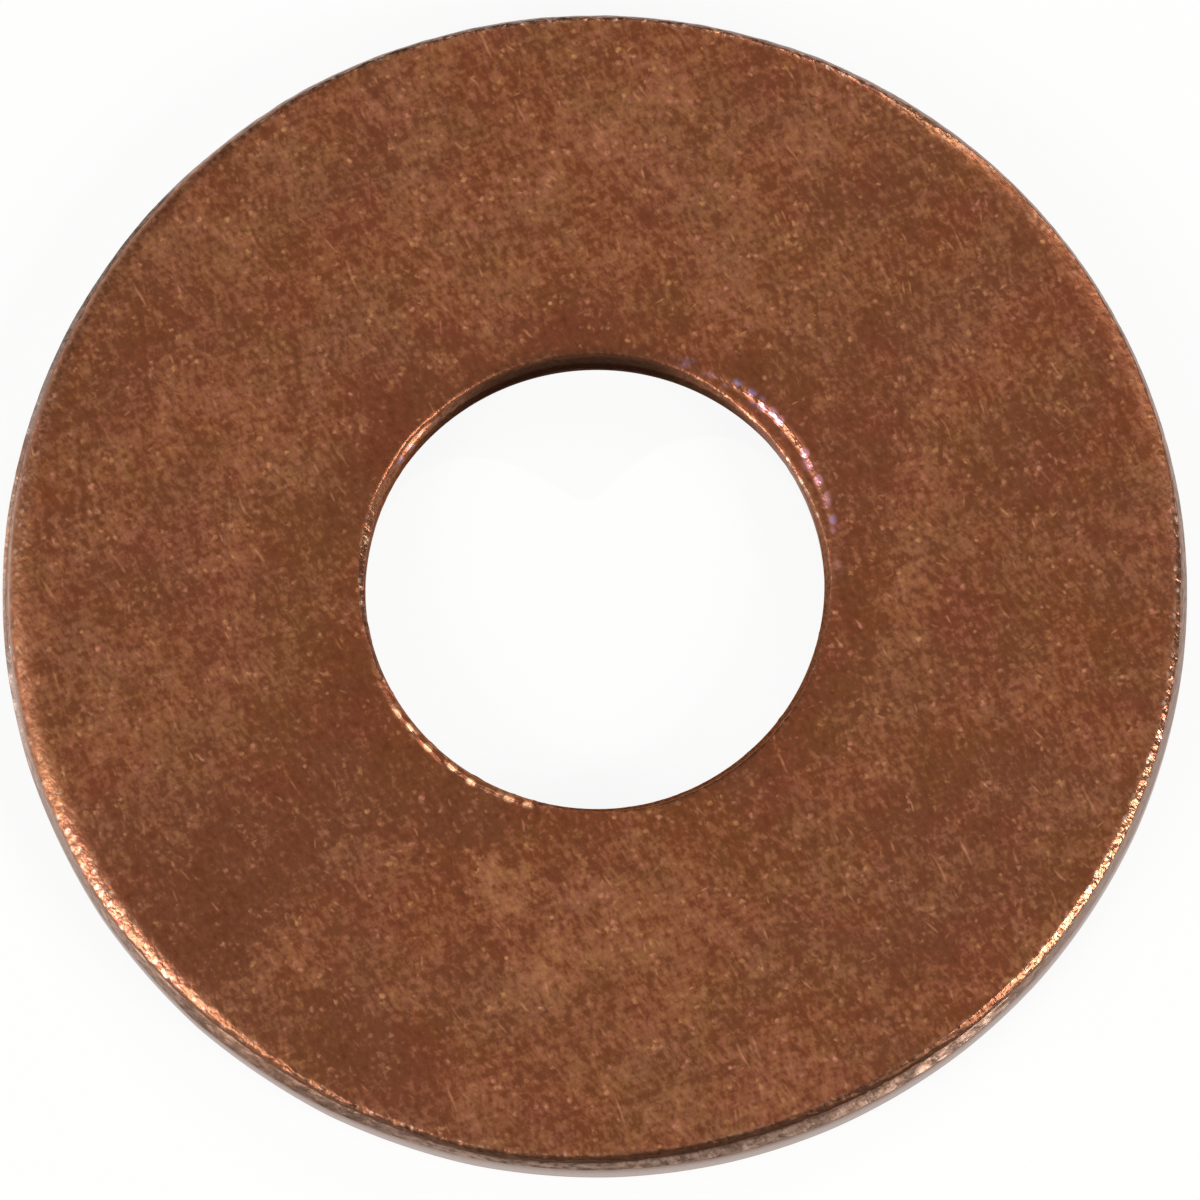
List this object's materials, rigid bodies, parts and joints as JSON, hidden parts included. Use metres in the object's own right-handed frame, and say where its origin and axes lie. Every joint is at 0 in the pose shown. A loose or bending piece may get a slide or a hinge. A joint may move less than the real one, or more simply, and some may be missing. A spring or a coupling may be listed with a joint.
{
  "type": "flat washer",
  "caption": "Flat round washer stamped from bronze sheet, with a central bolt hole and softly rounded punched edges.",
  "frame": {"origin": "centre of the lower face, on the axis of the bolt hole, where the washer rests on the work", "axes": "+Z along the bolt hole, from the lower face to the upper face, where the hole's edge is rolled over"},
  "size_m": [0.0222, 0.0222, 0.0012],
  "materials": {
    "bronze": "satin, tumbled, lightly tarnished brown"
  },
  "bodies": {
    "root": {"washer": "bronze"}
  },
  "joints": []
}
